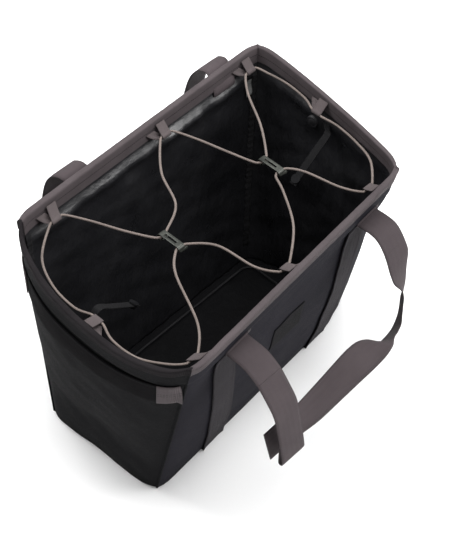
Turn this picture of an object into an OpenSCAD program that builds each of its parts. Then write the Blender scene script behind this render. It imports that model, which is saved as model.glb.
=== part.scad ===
// Open-top foldable tote bag with an elastic cord net, two webbing handles and a lift-up base board.
// Frame: +Z up, +Y to the back, origin under the middle of the base, millimetres.
// The base straps rest on z = 0.

/* [Bag] */
// Length of the rim along X
rim_w = 400; // [360:1:440]
// Depth of the rim along Y
rim_d = 270; // [250:1:300]
// Depth of the base along Y
base_d = 190; // [170:1:210]
// Height of the rim above the resting surface
bag_h = 320; // [290:1:350]
// Thickness of the outer fabric
fabric_t = 1.6; // [1.2:0.1:1.8]
// Thickness of the coated lining
lining_t = 0.8; // [0.6:0.1:1]

/* [Webbing] */
// Width of the webbing of handles, strips and grab straps
web_w = 38; // [32:1:40]
// Thickness of that webbing
web_t = 1.8; // [1.4:0.1:2]
// Distance of each vertical strip from the middle
strip_x = 115; // [95:1:130]
// Sideways shift of a handle's root from its strip
root_shift = 20; // [12:1:24]
// How far the middle of a grab strap bows out
grab_bow = 9; // [7:1:12]

/* [Handle] */
// Radius of the curve in which a handle drops
drape_r = 75; // [70:1:85]
// Length of a handle from its root to the middle of its grip
handle_drop = 190; // [180:1:220]
// Length of the handle's root part
leg_len = 52; // [45:1:58]

/* [Cord] */
// Diameter of the elastic cord
cord_d = 3; // [2.6:0.1:3.2]
// Radial clearance round the cord
cord_gap = 0.3; // [0.25:0.05:0.4]
// Distance of each hook's cords from the middle of the bag
hook_reach = 13; // [12:1:14]

/* [Base board] */
// Half length of the base board
board_x = 186; // [170:1:188]
// Half depth of the base board
board_y = 84; // [72:1:84]
// Thickness of the base board
board_t = 4; // [3:0.5:5]

/* [Hidden] */
$fn = 48;
base_z = web_t;
flare = (rim_d - base_d) / 2;
half_w = rim_w / 2;
// Layers, measured from a long wall's inner plane: positive is outward
band_out = fabric_t + 1.4;
bind_out = band_out + 1.4;
strip_out = fabric_t + web_t;
lining_in = 1.5 + lining_t;
bind_in = lining_in + 1.4;
// Layers of a short wall, measured along X
side_out = half_w;
side_in = side_out - fabric_t;
side_lining = side_in - lining_t;
side_bind = side_lining - 1.4;
band_h = 35;
bind_outer_h = 11;
bind_inner_h = 19;
bind_top = 1.4;
end_h = 6;
root_z = bag_h - band_h - end_h / 2;
strip_top = bag_h - band_h - end_h;
// Handle hinge, outward of the inner plane
pivot_out = strip_out + 2.6;
// Where the two parts of a handle meet
leg_gap = 0.35;
grip_turn_r = 27;
// Grab straps
grab_z = bag_h - band_h - 2 - web_w;
grab_half = 123;
grab_foot = 12;
// Cord tabs
tab_w = 14;
tab_eye_r = 3.3;
tab_z = bag_h - 14;
tab_y = 117;
tab_x = 183;
// Hooks
hook_w = 13;
hook_z = bag_h - 12;
hook_left_x = -81;
hook_right_x = 89;
eye_r = cord_d / 2 + cord_gap;
// Snap straps
snap_w = 12;
snap_t = 1.6;
snap_len = 74;
snap_z = bag_h - 32;
snap_tilt = 37;
snap_pivot = side_lining - 2.6;
board_z = base_z + fabric_t + 0.2;
piping_r = 1.6;

// Inner plane of the front and back wall at height z
function plane_y(z) = base_d / 2 + flare * (z - base_z) / (bag_h - base_z);

// Prism along X of a layer of the back wall
module layer(x0, x1, inner, outer, z0, z1)
  translate([x0, 0, 0])
    rotate([90, 0, 90])
      linear_extrude(x1 - x0)
        polygon([
          [plane_y(z0) + inner, z0],
          [plane_y(z0) + outer, z0],
          [plane_y(z1) + outer, z1],
          [plane_y(z1) + inner, z1]
        ]);

// Prism along X that fills the bag between its long walls
module between(x0, x1, margin, z0, z1)
  translate([x0, 0, 0])
    rotate([90, 0, 90])
      linear_extrude(x1 - x0)
        polygon([
          [-plane_y(z0) - margin, z0],
          [plane_y(z0) + margin, z0],
          [plane_y(z1) + margin, z1],
          [-plane_y(z1) - margin, z1]
        ]);

module front() mirror([0, 1, 0]) children();

module left() mirror([1, 0, 0]) children();

module bottom_fabric() {
  color([0.14, 0.14, 0.16])
    between(-half_w, half_w, 0, base_z, base_z + fabric_t);
}

module wall_panel() {
  color([0.17, 0.17, 0.19])
    layer(-half_w, half_w, 0, fabric_t, base_z, bag_h);
}

module gusset() {
  color([0.12, 0.12, 0.13])
    between(side_in, side_out, 0, base_z + fabric_t, bag_h);
}

module wall_lining() {
  color([0.1, 0.1, 0.11])
    layer(-side_in, side_in, -lining_in, -lining_in + lining_t, base_z + fabric_t, bag_h);
}

module gusset_lining() {
  color([0.1, 0.1, 0.11])
    between(side_lining, side_in, -lining_in, base_z + fabric_t, bag_h);
}

module stiffener() {
  color([0.3, 0.3, 0.32])
    layer(-half_w + 10, half_w - 10, -1.5, 0, bag_h - 30, bag_h - 2);
}

module wall_band() {
  color([0.2, 0.2, 0.22])
    layer(-half_w, half_w, fabric_t, band_out, bag_h - band_h, bag_h);
}

module side_band() {
  color([0.15, 0.15, 0.16])
    between(side_out, side_out + 1.4, band_out, bag_h - band_h, bag_h);
}

module wall_binding() {
  color([0.42, 0.38, 0.39]) {
    layer(-half_w - 1.4, half_w + 1.4, band_out, bind_out, bag_h - bind_outer_h, bag_h);
    layer(-half_w - 1.4, half_w + 1.4, -bind_in, bind_out, bag_h, bag_h + bind_top);
    layer(-side_lining, side_lining, -bind_in, -lining_in, bag_h - bind_inner_h, bag_h);
  }
}

module side_binding() {
  color([0.42, 0.38, 0.39]) {
    between(side_out + 1.4, side_out + 2.8, band_out, bag_h - bind_outer_h, bag_h);
    between(side_bind, side_out + 2.8, -bind_in, bag_h, bag_h + bind_top);
    between(side_bind, side_lining, -bind_in, bag_h - bind_inner_h, bag_h);
  }
}

// Middles of the strips and of the handle roots on the front and back walls
front_strips = [-strip_x - root_shift, strip_x];
back_strips = [-strip_x, strip_x];
front_roots = [-strip_x, strip_x + root_shift];
back_roots = [-strip_x + root_shift, strip_x + root_shift];

module strips(xs) {
  color([0.32, 0.29, 0.3])
    for (x = xs)
      layer(x - web_w / 2, x + web_w / 2, fabric_t, strip_out, base_z, strip_top);
}

module base_straps() {
  reach = base_d + 2 * strip_out;
  color([0.32, 0.29, 0.3])
    for (i = [0, 1])
      linear_extrude(base_z)
        polygon([
          [front_strips[i] - web_w / 2, -reach / 2],
          [front_strips[i] + web_w / 2, -reach / 2],
          [back_strips[i] + web_w / 2, reach / 2],
          [back_strips[i] - web_w / 2, reach / 2]
        ]);
}

module handle_ends(xs) {
  color([0.36, 0.33, 0.34])
    for (x = xs)
      layer(x - web_w / 2, x + web_w / 2, fabric_t, strip_out + 1.2, strip_top, bag_h - band_h);
}

module handle_tacks(xs) {
  tack_w = 8;
  color([0.55, 0.5, 0.52])
    for (x = xs)
      layer(x + web_w / 2, x + web_w / 2 + tack_w, fabric_t, fabric_t + 0.8,
        strip_top - 2, bag_h - band_h);
}

// A handle's surface: s along its drop from the hinge, off across its thickness
arc_end = 80;
function arc_angle(s) = min(arc_end, s / drape_r * 180 / PI);
function past_arc(s) = max(0, s - drape_r * arc_end * PI / 180);
function drape(x, s, off) = let(a = arc_angle(s), more = past_arc(s)) [
  x,
  drape_r * sin(a) + more * cos(arc_end) + off * sin(a),
  -drape_r * (1 - cos(a)) - more * sin(arc_end) + off * cos(a)
];

// Stations of a ribbon: x, s, and the direction of its width from +X towards +s
function ring_of(p) = let(h = web_w / 2, t = web_t / 2, c = cos(p[2]), d = sin(p[2])) [
  drape(p[0] - h * c, p[1] - h * d, -t),
  drape(p[0] + h * c, p[1] + h * d, -t),
  drape(p[0] + h * c, p[1] + h * d, t),
  drape(p[0] - h * c, p[1] - h * d, t)
];

// Closed tube through rings that all have n points
function tube_faces(rings, n) = concat(
  [[for (k = [0:n - 1]) k]],
  [for (i = [0:rings - 2]) for (k = [0:n - 1]) let(a = i * n + k, b = i * n + (k + 1) % n)
    [a, a + n, b + n, b]],
  [[for (k = [n - 1:-1:0]) (rings - 1) * n + k]]
);

module ribbon(stations) {
  rings = [for (p = stations) ring_of(p)];
  polyhedron([for (r = rings) each r], tube_faces(len(rings), 4), convexity = 6);
}

// Places a handle whose hinge is at the origin and whose drop is towards +Y
module at_root() translate([0, plane_y(root_z) + pivot_out, root_z]) children();

leg_steps = 4;
module handle_legs(xs) {
  color([0.36, 0.33, 0.34])
    at_root()
      for (x = xs)
        ribbon([for (i = [0:leg_steps]) [x, i * leg_len / leg_steps, 0]]);
}

// The grip's left half from its root to the corner, then the same mirrored
grip_start = leg_len + leg_gap;
drop_steps = [grip_start, 66, 80, 93, 105];
turn_steps = [0:18:90];
module handle_grip(xs) {
  xl = xs[0];
  xr = xs[1];
  cs = handle_drop - grip_turn_r;
  down = [for (s = drop_steps) [xl, s, 0]];
  turn_l = [for (a = turn_steps)
    [xl + grip_turn_r * (1 - cos(a)), cs + grip_turn_r * sin(a), -a]];
  turn_r = [for (a = turn_steps)
    [xr - grip_turn_r * (1 - sin(a)), cs + grip_turn_r * cos(a), -90 - a]];
  up = [for (i = [len(drop_steps) - 1:-1:0]) [xr, drop_steps[i], -180]];
  color([0.36, 0.33, 0.34])
    at_root()
      ribbon(concat(down, turn_l, turn_r, up));
}

// Plan of a grab strap: a bowed band with a flat foot at each end
module grab_strap() {
  span = grab_half - grab_foot;
  r = (span * span + grab_bow * grab_bow) / (2 * grab_bow);
  color([0.34, 0.31, 0.32])
    translate([side_out, 0, grab_z])
      linear_extrude(web_w) {
        for (side = [-1, 1])
          translate([0, side > 0 ? span : -grab_half])
            square([web_t, grab_foot]);
        intersection() {
          difference() {
            translate([grab_bow + web_t - r, 0])
              circle(r = r, $fn = 180);
            translate([grab_bow - r, 0])
              circle(r = r, $fn = 180);
          }
          translate([0, -span])
            square([grab_bow + web_t + 1, 2 * span]);
        }
      }
}

module corner_piping() {
  lean = atan(flare / (bag_h - base_z));
  top = bag_h - band_h - base_z;
  color([0.13, 0.13, 0.14])
    for (sx = [0, 1])
      for (sy = [0, 1])
        mirror([sx, 0, 0])
          mirror([0, sy, 0])
            intersection() {
              translate([half_w, base_d / 2 + fabric_t / 2, base_z])
                rotate([-lean, 0, 0])
                  translate([0, 0, -10])
                    linear_extrude(top + 30) {
                      translate([piping_r / 2, 0])
                        circle(r = piping_r / 2);
                      translate([0, -piping_r / 2])
                        square([piping_r / 2, piping_r]);
                    }
              translate([0, 0, base_z])
                cube([rim_w, rim_d, top]);
            }
}

module wall_tab(x) {
  color([0.4, 0.37, 0.36])
    difference() {
      union() {
        translate([x - tab_w / 2, 0, 0])
          rotate([90, 0, 90])
            linear_extrude(tab_w)
              polygon([
                [tab_y, tab_z - 1.5],
                [plane_y(tab_z - 1.5) - bind_in, tab_z - 1.5],
                [plane_y(tab_z + 1.5) - bind_in, tab_z + 1.5],
                [tab_y, tab_z + 1.5]
              ]);
        translate([x - tab_w / 2, tab_y, tab_z])
          rotate([0, 90, 0])
            cylinder(r = tab_eye_r, h = tab_w);
      }
      translate([x - tab_w, tab_y, tab_z])
        rotate([0, 90, 0])
          cylinder(r = eye_r, h = 2 * tab_w);
    }
}

module side_tab(y) {
  color([0.4, 0.37, 0.36])
    difference() {
      union() {
        translate([tab_x, y - tab_w / 2, tab_z - 1.5])
          cube([side_bind - tab_x, tab_w, 3]);
        translate([tab_x, y - tab_w / 2, tab_z])
          rotate([-90, 0, 0])
            cylinder(r = tab_eye_r, h = tab_w);
      }
      translate([tab_x, y - tab_w, tab_z])
        rotate([-90, 0, 0])
          cylinder(r = eye_r, h = 2 * tab_w);
    }
}

// Cord tube of 8 sides through route points
function unit(v) = v / norm(v);
function tangent(p, i) = unit(p[min(i + 1, len(p) - 1)] - p[max(i - 1, 0)]);
function cord_ring(p, i) = let(t = tangent(p, i), u = unit(cross(t, [0, 0, 1])), v = cross(t, u))
  [for (k = [0:7]) p[i] + cord_d / 2 * (u * cos(45 * k) + v * sin(45 * k))];

module cord(p) {
  color([0.55, 0.5, 0.47])
    polyhedron([for (i = [0:len(p) - 1]) each cord_ring(p, i)], tube_faces(len(p), 8),
      convexity = 6);
}

// A cord span between two wall tabs by way of a hook, side = 1 at the back and -1 at the front
module wall_cord(x0, x1, hx, side, bend0, bend1, near0, near1) {
  s = x1 > x0 ? 1 : -1;
  y = side * tab_y;
  h = side * hook_reach;
  sag = hook_z + 4;
  cord([
    [x0, y, tab_z],
    [x0 + s * 9, y, tab_z],
    [bend0[0], side * bend0[1], tab_z - 2],
    [near0[0], side * near0[1], sag],
    [hx - s * 9, h, hook_z],
    [hx + s * 9, h, hook_z],
    [near1[0], side * near1[1], sag],
    [bend1[0], side * bend1[1], tab_z - 2],
    [x1 - s * 9, y, tab_z],
    [x1, y, tab_z]
  ]);
}

// A cord span round a corner of the rim, from a side tab to a wall tab
module corner_cord(sx, sy, side_y, wall_x, in_y, mid_y, out_y) {
  cord([
    [sx * tab_x, side_y, tab_z],
    [sx * tab_x, side_y + sy * 9, tab_z],
    [sx * 189, in_y, tab_z - 1],
    [sx * 190, mid_y, tab_z - 2],
    [sx * 184, out_y, tab_z - 1],
    [wall_x + sx * 9, sy * tab_y, tab_z],
    [wall_x, sy * tab_y, tab_z]
  ]);
}

tab_bl = -150;
tab_bm = 22;
tab_br = 170;
tab_fr = 152;
tab_fm = -10;
tab_fl = -168;
tab_r = 8;
tab_l = -4;

// Hook with its eye round the back cord and its foot over the front cord, at x = 0
module hook() {
  plate_z = 2;
  plate_t = 2.4;
  front_end = -(hook_reach + 10);
  eye_out = 4.4;
  slot_w = 4;
  slot_len = 12;
  lip_y = -(hook_reach + cord_d / 2 + 0.4);
  color([0.42, 0.44, 0.41])
    difference() {
      union() {
        translate([-hook_w / 2, front_end + hook_w / 2, plate_z])
          cube([hook_w, hook_reach - front_end - hook_w / 2, plate_t]);
        translate([0, front_end + hook_w / 2, plate_z])
          cylinder(d = hook_w, h = plate_t);
        translate([-hook_w / 2, hook_reach, 0])
          rotate([0, 90, 0])
            cylinder(r = eye_out, h = hook_w);
        translate([-hook_w / 2, lip_y - 3, -3])
          cube([hook_w, 3, plate_z + 3.5]);
      }
      translate([-hook_w, hook_reach, 0])
        rotate([0, 90, 0])
          cylinder(r = eye_r, h = 2 * hook_w);
      for (end = [-1, 1])
        translate([0, end * (slot_len - slot_w) / 2, -1])
          cylinder(d = slot_w, h = 10);
      translate([-slot_w / 2, -(slot_len - slot_w) / 2, -1])
        cube([slot_w, slot_len - slot_w, 10]);
    }
}

module at_snap()
  translate([snap_pivot, 0, snap_z])
    rotate([0, -snap_tilt, 0])
      children();

module snap_anchor() {
  color([0.3, 0.28, 0.29]) {
    translate([side_lining - 1.2, -snap_w, snap_z - 9])
      cube([1.2, 2 * snap_w, 18]);
  }
}

module snap_strap() {
  color([0.16, 0.15, 0.16])
    at_snap()
      translate([-snap_len, -snap_w / 2, -snap_t / 2])
        cube([snap_len, snap_w, snap_t]);
}

module snap_disc(knob_d) {
  color([0.25, 0.25, 0.26])
    at_snap()
      translate([-snap_len + 7, 0, 0]) {
        translate([0, 0, snap_t / 2])
          cylinder(d = 12, h = 1.8);
        translate([0, 0, -snap_t / 2 - 1.6])
          cylinder(d = 11, h = 1.6);
        translate([0, 0, -snap_t / 2 - 3.8])
          cylinder(d = knob_d, h = 2.2);
      }
}

module board_plan(more) {
  r = 20;
  x = board_x + more - r;
  y = board_y + more - r;
  square([2 * x, 2 * (y + r)], center = true);
  square([2 * (x + r), 2 * y], center = true);
  for (sx = [-1, 1])
    for (sy = [-1, 1])
      translate([sx * x, sy * y])
        circle(r = r);
}

module base_board() {
  color([0.12, 0.12, 0.13])
    translate([0, 0, board_z])
      linear_extrude(board_t)
        board_plan(0);
}

module board_piping() {
  color([0.2, 0.2, 0.21])
    translate([0, 0, board_z])
      linear_extrude(board_t + 1)
        difference() {
          board_plan(3);
          board_plan(0);
        }
}

module label_patch() {
  color([0.1, 0.1, 0.1])
    front()
      layer(-29, 29, fabric_t, fabric_t + 1.2, 160, 208);
}

module care_label() {
  color([0.8, 0.8, 0.78])
    layer(168, 184, -lining_in - 0.5, -lining_in, 262, 282);
}

module seam_tapes() {
  color([0.15, 0.15, 0.16])
    for (sx = [0, 1])
      for (sy = [0, 1])
        mirror([sx, 0, 0])
          mirror([0, sy, 0])
            layer(side_lining - 12, side_lining, -lining_in - 0.6, -lining_in,
              16, bag_h - bind_inner_h);
}

// --- parts ---
// Which part to build

bottom_fabric();
front() wall_panel();  // front_panel
wall_panel();  // back_panel
left() gusset();  // left_gusset
gusset();  // right_gusset
front() wall_lining();  // front_lining
wall_lining();  // back_lining
left() gusset_lining();  // left_lining
gusset_lining();  // right_lining
front() stiffener();  // front_stiffener
stiffener();  // back_stiffener
front() wall_band();  // front_band
wall_band();  // back_band
left() side_band();  // left_band
side_band();  // right_band
front() wall_binding();  // front_binding
wall_binding();  // back_binding
left() side_binding();  // left_binding
side_binding();  // right_binding
front() strips(front_strips);
strips(back_strips);
base_straps();
front() handle_ends(front_roots);  // front_handle_ends
handle_ends(back_roots);  // back_handle_ends
union() {
  front() handle_tacks(front_roots);
  handle_tacks(back_roots);
}
front() handle_legs(front_roots);  // front_handle_legs
front() handle_grip(front_roots);  // front_handle_grip
handle_legs(back_roots);  // back_handle_legs
handle_grip(back_roots);  // back_handle_grip
left() grab_strap();  // left_grab_strap
grab_strap();  // right_grab_strap
corner_piping();
wall_tab(tab_bl);  // tab_back_left
wall_tab(tab_bm);  // tab_back_mid
wall_tab(tab_br);  // tab_back_right
side_tab(tab_r);  // tab_right
front() wall_tab(tab_fr);  // tab_front_right
front() wall_tab(tab_fm);  // tab_front_mid
front() wall_tab(tab_fl);  // tab_front_left
left() side_tab(tab_l);  // tab_left
wall_cord(tab_bl, tab_bm, hook_left_x, 1, [-119, 92], [-12, 78], [-107, 46], [-42, 32]);  // cord_back_left
wall_cord(tab_bm, tab_br, hook_right_x, 1, [55, 92], [150, 84], [66, 48], [126, 44]);  // cord_back_right
wall_cord(tab_fr, tab_fm, hook_right_x, -1, [124, 88], [34, 84], [112, 44], [62, 42]);  // cord_front_right
wall_cord(tab_fm, tab_fl, hook_left_x, -1, [-38, 94], [-135, 88], [-50, 44], [-110, 38]);  // cord_front_left
corner_cord(1, 1, tab_r, tab_br, 36, 70, 100);  // cord_right_back
corner_cord(1, -1, tab_r, tab_fr, -26, -60, -92);  // cord_right_front
corner_cord(-1, -1, tab_l, tab_fl, -34, -68, -100);  // cord_left_front
corner_cord(-1, 1, tab_l, tab_bl, 26, 62, 94);  // cord_left_back
translate([hook_left_x, 0, hook_z]) hook();  // hook_left
translate([hook_right_x, 0, hook_z]) hook();  // hook_right
union() {  // snap_anchors
  snap_anchor();
  left() snap_anchor();
}
left() snap_strap();  // snap_strap_left
left() snap_disc(9);  // snap_socket
snap_strap();  // snap_strap_right
snap_disc(5);  // snap_stud
base_board();
board_piping();
label_patch();
care_label();
seam_tapes();
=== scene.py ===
"""Tote bag: soft outer shell, linings, webbing, elastic cord net and studio, round the CAD frame."""
import math

import bmesh
import bpy
from mathutils import Matrix, Vector, noise


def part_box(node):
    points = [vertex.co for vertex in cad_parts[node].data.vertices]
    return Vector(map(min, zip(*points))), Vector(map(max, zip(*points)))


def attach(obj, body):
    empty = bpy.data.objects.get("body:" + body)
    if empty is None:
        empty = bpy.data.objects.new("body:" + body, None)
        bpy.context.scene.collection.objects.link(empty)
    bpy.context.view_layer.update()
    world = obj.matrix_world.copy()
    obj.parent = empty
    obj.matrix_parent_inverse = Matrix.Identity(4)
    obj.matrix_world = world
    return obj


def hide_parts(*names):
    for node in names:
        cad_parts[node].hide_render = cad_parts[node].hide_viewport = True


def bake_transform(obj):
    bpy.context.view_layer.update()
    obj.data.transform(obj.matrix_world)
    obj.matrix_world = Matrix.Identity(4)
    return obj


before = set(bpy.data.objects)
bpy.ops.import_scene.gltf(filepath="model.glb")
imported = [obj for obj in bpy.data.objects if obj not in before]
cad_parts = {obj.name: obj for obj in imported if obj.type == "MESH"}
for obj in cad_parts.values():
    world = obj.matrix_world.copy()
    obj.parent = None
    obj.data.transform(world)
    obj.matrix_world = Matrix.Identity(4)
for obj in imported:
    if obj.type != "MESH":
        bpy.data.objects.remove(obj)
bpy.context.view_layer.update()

# ---- sizes, from the CAD nodes, in metres ----


def low(node):
    return Vector(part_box(node)[0])


def high(node):
    return Vector(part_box(node)[1])


HALF_W = high("right_gusset").x
SIDE_IN = low("right_gusset").x
RIM_Y = high("right_gusset").y
RIM_Z = high("back_panel").z
BASE_Z = low("back_panel").z
BASE_Y = high("bottom_fabric").y
FABRIC = high("bottom_fabric").z - BASE_Z
LINING = abs(abs(low("left_lining").x) - abs(high("left_lining").x))
STIFFENER = 0.0015
BAND_OUT = high("right_band").x - SIDE_IN
BIND_OUT = high("right_binding").x - SIDE_IN
BAND_Z = low("back_band").z
BIND_OUTER_Z = RIM_Z - 0.011
BIND_INNER_Z = RIM_Z - 0.019
BIND_TOP = high("back_binding").z
STRIP_TOP = high("front_strips").z
WEB_W = 0.038
WEB_T = 0.0018


def middles(node):
    """Middles of the left and the right band of webbing in a CAD node"""
    return low(node).x + WEB_W / 2, high(node).x - WEB_W / 2


FRONT_STRIPS, BACK_STRIPS = middles("front_strips"), middles("back_strips")
FRONT_ROOTS, BACK_ROOTS = middles("front_handle_ends"), middles("back_handle_ends")
STRIP_X = FRONT_STRIPS[1]
CORD_D = 0.003
TAB_Z = (low("tab_back_mid").z + high("tab_back_mid").z) / 2
TAB_Y = 0.117
TAB_X = 0.183
HOOK_LEFT_X = (low("hook_left").x + high("hook_left").x) / 2
HOOK_RIGHT_X = (low("hook_right").x + high("hook_right").x) / 2
HOOK_Z = RIM_Z - 0.012
HOOK_REACH = 0.013


def clamp(x, a=0.0, b=1.0):
    return max(a, min(b, x))


def ease(x):
    x = clamp(x)
    return x * x * (3 - 2 * x)


def lerp(a, b, t):
    return a + (b - a) * t


def spread(a, b, n):
    return [lerp(a, b, i / (n - 1)) for i in range(n)]


def plane(z):
    """Half depth inside the bag at height z"""
    return BASE_Y + (RIM_Y - BASE_Y) * (z - BASE_Z) / (RIM_Z - BASE_Z)


# ---- how the soft bag has slumped away from its straight pattern ----
RIM_MOVE = {
    "front_left": Vector((-0.008, -0.017, 0)),
    "front_right": Vector((-0.012, 0.017, 0)),
    "back_left": Vector((0.007, 0.003, 0)),
    "back_right": Vector((0.031, 0.015, 0)),
}
BASE_MOVE = {
    "front_left": Vector((0.011, 0.009, 0)),
    "front_right": Vector((0.020, 0.038, 0)),
    "back_left": Vector((0.002, -0.002, 0)),
    "back_right": Vector((-0.024, 0.000, 0)),
}
LEFT_BOW = 0.0275
LEFT_SAG = 0.027
RIGHT_BOW = 0.007
CORNER_TUCK = 0.005
CORNER_REACH = 0.028
FOLD_BACK = 0.009


def corner_mix(moves, tx, ty):
    front = moves["front_left"].lerp(moves["front_right"], tx)
    back = moves["back_left"].lerp(moves["back_right"], tx)
    return front.lerp(back, ty)


def settle(p):
    """Where a point of the straight bag lies once the cloth has slumped"""
    k = clamp(p.z / RIM_Z)
    half = plane(clamp(p.z, BASE_Z, RIM_Z))
    tx = clamp((p.x / HALF_W + 1) / 2)
    ty = clamp((p.y / half + 1) / 2)
    move = corner_mix(BASE_MOVE, tx, ty).lerp(corner_mix(RIM_MOVE, tx, ty), k)
    inside_y = clamp(1 - abs(2 * ty - 1) ** 2.6)
    to_left = clamp(1 - 2.2 * tx) ** 1.4
    move.x -= LEFT_BOW * inside_y * to_left * ease(k * 1.15)
    move.z -= LEFT_SAG * inside_y * to_left * k ** 3
    move.x += RIGHT_BOW * inside_y * clamp(2.2 * tx - 1.2) * ease(k)
    # the vertical corners are round
    dx = HALF_W - min(abs(p.x), HALF_W)
    dy = half - min(abs(p.y), half)
    near = clamp(1 - math.hypot(dx, dy) / CORNER_REACH) ** 2
    move.x -= math.copysign(CORNER_TUCK * near, p.x)
    move.y -= math.copysign(CORNER_TUCK * near, p.y)
    # the front right corner is folded back below its rim
    fold = ease((p.x - STRIP_X - 0.012) / (HALF_W - STRIP_X - 0.012))
    fold *= clamp(-p.y / half) ** 3 * ease((RIM_Z - 0.04 - p.z) / 0.06)
    move.y += FOLD_BACK * fold
    move.x -= 0.5 * FOLD_BACK * fold
    return p + move


LONG = {"front": -1, "back": 1}
SHORT = {"left": -1, "right": 1}


def ripple(seed, a, b, size):
    """Smooth noise between -1 and 1 at a place on a wall, size in metres"""
    return noise.noise(Vector((a / size, b / size, seed)))


def belly(wall, u, z):
    """How far a wall bulges and creases out of its plane"""
    k = clamp((z - BASE_Z) / (RIM_Z - BASE_Z))
    if wall in LONG:
        t = clamp(abs(u) / HALF_W)
        edge = 1 - t ** 4
        out = 0.007 * edge * math.sin(math.pi * min(k * 1.25, 1))
        out += 0.0014 * ripple(3 + LONG[wall], u, z, 0.07) * edge * ease((1 - k) * 5)
        out += 0.0008 * ripple(8 + LONG[wall], u + z, z, 0.028) * edge * ease((0.9 - k) * 5)
        return out
    t = clamp(abs(u))
    edge = 1 - t ** 3
    y = u * plane(z)
    soft = ease((0.97 - k) * 5)
    out = 0.010 * edge * math.sin(math.pi * clamp(k * 1.1)) * (0.6 if wall == "left" else -0.2)
    out += 0.0050 * ripple(21 + SHORT[wall], y * 0.45, z + y * 0.25, 0.055) * edge * soft
    out += 0.0010 * ripple(27 + SHORT[wall], y * 0.6, z - y * 0.3, 0.024) * edge * soft
    return out


def on_wall(wall, u, z, off=0.0):
    """A point of a wall: u is x on a long wall and the share of the depth on a short one."""
    out = off + belly(wall, u, z)
    if wall in LONG:
        side = math.copysign(1, u)
        turn = ease((abs(u) / HALF_W - 0.93) / 0.07)
        x = lerp(u, side * (SIDE_IN + off), turn)
        return settle(Vector((x, LONG[wall] * (plane(z) + out), z)))
    turn = ease((abs(u) - 0.93) / 0.07)
    y = u * plane(z) + math.copysign(off * turn, u)
    return settle(Vector((SHORT[wall] * (SIDE_IN + out), y, z)))


# ---- mesh helpers ----
# How far a sheet's rounded edge stands out, as a share of its thickness
ROUND_EDGE = 0.4


def new_object(name, verts, faces, flat, material, body="bag", angle=50):
    mesh = bpy.data.meshes.new(name)
    mesh.from_pydata([tuple(v) for v in verts], [], faces)
    layer = mesh.attributes.new("flat", "FLOAT_VECTOR", "POINT")
    for i, f in enumerate(flat):
        layer.data[i].vector = (f[0], f[1], f[2] if len(f) > 2 else 0.0)
    bm = bmesh.new()
    bm.from_mesh(mesh)
    bmesh.ops.recalc_face_normals(bm, faces=bm.faces)
    for e in bm.edges:
        if len(e.link_faces) == 2 and e.calc_face_angle(0) > math.radians(angle):
            e.smooth = False
    for f in bm.faces:
        f.smooth = True
    bm.to_mesh(mesh)
    bm.free()
    obj = bpy.data.objects.new(name, mesh)
    bpy.context.collection.objects.link(obj)
    mesh.materials.append(material)
    if body:
        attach(obj, body)
    return obj


def slab(name, point, us, vs, inner, outer, material, body="bag", across=None):
    """A closed sheet of cloth over the grid us x vs, between the offsets inner and outer."""
    nu, nv = len(us), len(vs)
    verts, flat = [], []
    span = across or 1.0
    for off in (outer, inner):
        for v in vs:
            for u in us:
                verts.append(point(u, v, off))
                flat.append((u * span, v))
    faces = []
    n = nu * nv
    for j in range(nv - 1):
        for i in range(nu - 1):
            a = j * nu + i
            faces.append((a, a + 1, a + nu + 1, a + nu))
            faces.append((n + a, n + a + nu, n + a + nu + 1, n + a + 1))
    ring = list(range(nu))
    ring += [j * nu + nu - 1 for j in range(1, nv)]
    ring += [(nv - 1) * nu + i for i in range(nu - 2, -1, -1)]
    ring += [j * nu for j in range(nv - 2, 0, -1)]
    start = len(verts)
    mid = (inner + outer) / 2
    bulge = ROUND_EDGE * abs(outer - inner)
    for k in ring:
        i, j = k % nu, k // nu
        p = point(us[i], vs[j], mid)
        q = point(us[max(1, min(nu - 2, i))], vs[max(1, min(nv - 2, j))], mid)
        away = (p - q)
        verts.append(p + away.normalized() * bulge if away.length > 1e-7 else p)
        flat.append((us[i] * span, vs[j]))
    m = len(ring)
    for k in range(m):
        k2 = (k + 1) % m
        faces.append((ring[k], ring[k2], start + k2, start + k))
        faces.append((n + ring[k2], n + ring[k], start + k, start + k2))
    return new_object(name, verts, faces, flat, material, body, 80)


def catmull(points, step):
    """Evenly spaced smooth points through the given ones; each is a list of numbers"""
    pts = [points[0]] + list(points) + [points[-1]]
    out = []
    for i in range(1, len(pts) - 2):
        p0, p1, p2, p3 = pts[i - 1], pts[i], pts[i + 1], pts[i + 2]
        length = math.dist(p1[:3], p2[:3])
        n = max(1, round(length / step))
        for k in range(n):
            t = k / n
            out.append([
                0.5 * (2 * b + (c - a) * t + (2 * a - 5 * b + 4 * c - d) * t * t
                       + (3 * b - a - 3 * c + d) * t ** 3)
                for a, b, c, d in zip(p0, p1, p2, p3)
            ])
    out.append(list(pts[-2]))
    return out


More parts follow.
